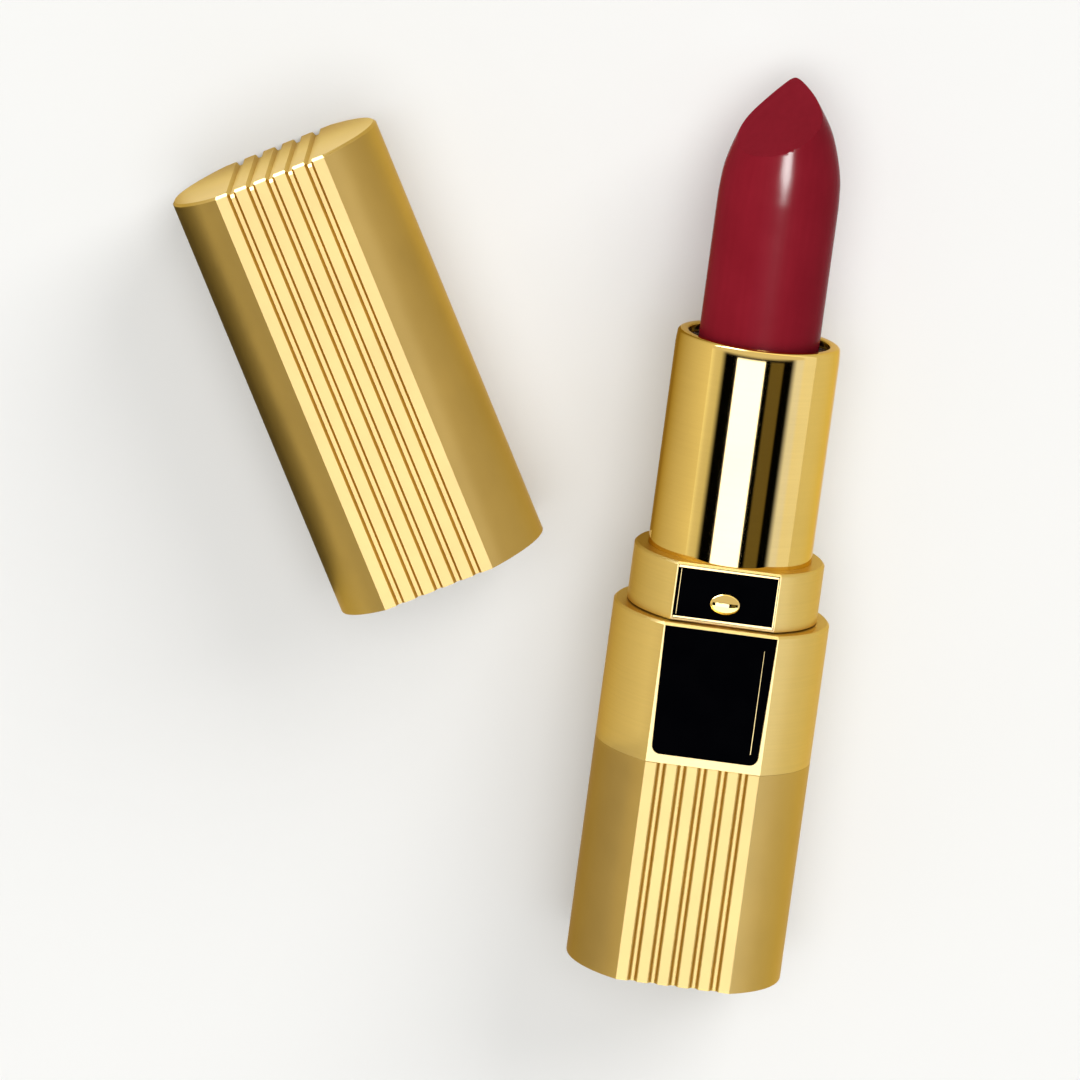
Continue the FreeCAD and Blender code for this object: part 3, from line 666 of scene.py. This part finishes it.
def make_panels(materials):
    """The black enamel panels, with fine rounded edges."""
    for part, body, foot_half, corner in PANELS:
        for side in ("front", "back"):
            node = f"{part}_inlay_{side}"
            low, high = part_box(node)
            outline = panel_outline(low, high, foot_half, corner)
            count = len(outline)
            vertices = [(*point, level / MM) for level in (low[2], high[2]) for point in outline]
            faces = [tuple(range(count)), tuple(reversed(range(count, 2 * count)))]
            for step in range(count):
                beside = (step + 1) % count
                faces.append((step, step + count, beside + count, beside))
            piece = new_piece(f"{part}_panel_{side}", vertices, faces, materials["black_enamel"],
                              body, node)
            bevel_edges(piece, PANEL_EDGE)


# Fine gold lines let into the enamel: panel, body, start and end (across, along the case), half
# width at the start and at the end, how much of the width is flat on top, and material.
LINES = [
    ("shoulder", "case", (4.5, 24.6), (4.5, 35.2), 0.07, 0.03, 0.5, "bright_gold"),
    ("collar", "tube_unit", (-4.72, 37.6), (-4.72, 42.2), 0.05, 0.05, 0.5, "bright_gold"),
    ("collar", "tube_unit", (-5.0, 42.46), (5.0, 42.46), 0.14, 0.10, 0.8, "polished_gold"),
    ("collar", "tube_unit", (-5.0, 37.32), (5.0, 37.32), 0.09, 0.13, 0.8, "polished_gold"),
    ("collar", "tube_unit", (4.98, 37.3), (4.98, 42.5), 0.06, 0.04, 0.8, "polished_gold"),
]
LINE_DEPTH = 0.05
LINE_RISE = 0.03


def make_lines(materials):
    """The fine lines on the front and back panels: low ridges with flat tops."""
    for number, (part, body, start, end, start_half, end_half, flat, slot) in enumerate(LINES):
        for side, sign in (("front", 1), ("back", -1)):
            low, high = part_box(f"{part}_inlay_{side}")
            face = (high[2] if sign > 0 else low[2]) / MM
            way = (Vector(end) - Vector(start)).normalized()
            beside = Vector((way.y, -way.x))
            vertices = []
            for place, half in ((start, start_half), (end, end_half)):
                for offset, rise in ((-1, -LINE_DEPTH), (-flat, LINE_RISE), (flat, LINE_RISE),
                                     (1, -LINE_DEPTH)):
                    across, along = Vector(place) + beside * half * offset
                    vertices.append((sign * across, along, face + sign * rise))
            faces = [(0, 1, 5, 4), (1, 2, 6, 5), (2, 3, 7, 6), (3, 0, 4, 7), (3, 2, 1, 0), (4, 5, 6, 7)]
            new_piece(f"{part}_line_{number}_{side}", vertices, faces, materials[slot], body,
                      None)


CAP_TURN = math.radians(29.4)
CAP_AXIS = Vector((-math.sin(CAP_TURN), math.cos(CAP_TURN), 0))
CAP_SHARP_ANGLE = 14
END_CHAMFER = 0.3
FACES_ALONG = 0.99


def is_end_edge(edge):
    """Whether an edge lies between the cap's closed end and a flat of its ribs or grooves."""
    if len(edge.link_faces) != 2:
        return False
    first, second = (face.normal for face in edge.link_faces)
    ends = max(first.dot(CAP_AXIS), second.dot(CAP_AXIS)) > FACES_ALONG
    flats = max(abs(first.z), abs(second.z)) > FACES_ALONG
    return ends and flats and edge.is_convex


def make_cap_shell(materials):
    """The cap's shell, with bright chamfers on its ribs and grooves at the closed end."""
    node = frame["nodes"]["cap_shell"]
    mesh = node.data.copy()
    mesh.transform(node.matrix_world)
    mesh.materials.clear()
    mesh.materials.append(materials["ribbed_gold"])
    shape = bmesh.new()
    shape.from_mesh(mesh)
    bmesh.ops.remove_doubles(shape, verts=shape.verts[:], dist=SAME_PLACE * MM)
    bmesh.ops.recalc_face_normals(shape, faces=shape.faces[:])
    shape.normal_update()
    edges = [edge for edge in shape.edges if is_end_edge(edge)]
    bmesh.ops.bevel(shape, geom=edges, offset=END_CHAMFER * MM, offset_type="OFFSET", segments=1,
                    affect="EDGES", profile=0.5)
    shape.to_mesh(mesh)
    shape.free()
    mesh.attributes.remove(mesh.attributes["custom_normal"])
    mesh.shade_smooth()
    mesh.set_sharp_from_angle(angle=math.radians(CAP_SHARP_ANGLE))
    piece = bpy.data.objects.new("cap_case", mesh)
    bpy.context.collection.objects.link(piece)
    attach(piece, "cap")
    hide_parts("cap_shell")


# CAD parts that a piece made here stands for, besides the panels.
REDRAWN = ("outer_tube", "lipstick_bullet", "cap_shell")


def dress_frame(materials):
    """Gives every CAD node its material, and softens the edges of those that are kept."""
    slots = {part["node"]: part["material_slot"] for part in frame["record"]["subparts"]}
    for name, node in frame["nodes"].items():
        material = materials["polished_gold" if "bead" in name else slots[name]]
        if not node.material_slots:
            node.data.materials.append(material)
        for slot in node.material_slots:
            slot.material = material
        if name not in REDRAWN and "inlay" not in name:
            soften(node, EDGE_WIDTH.get(name, FINE_EDGE))


# ---------------------------------------------------------------- scene

make_camera()
make_world()
make_floor()
make_cards()
MATERIALS = make_materials()
dress_frame(MATERIALS)
make_tube(MATERIALS)
STICK = make_stick(MATERIALS)
make_lights(STICK)
make_nose_light(STICK)
make_panels(MATERIALS)
make_lines(MATERIALS)
make_cap_shell(MATERIALS)
bpy.context.scene.view_settings.view_transform = "Standard"
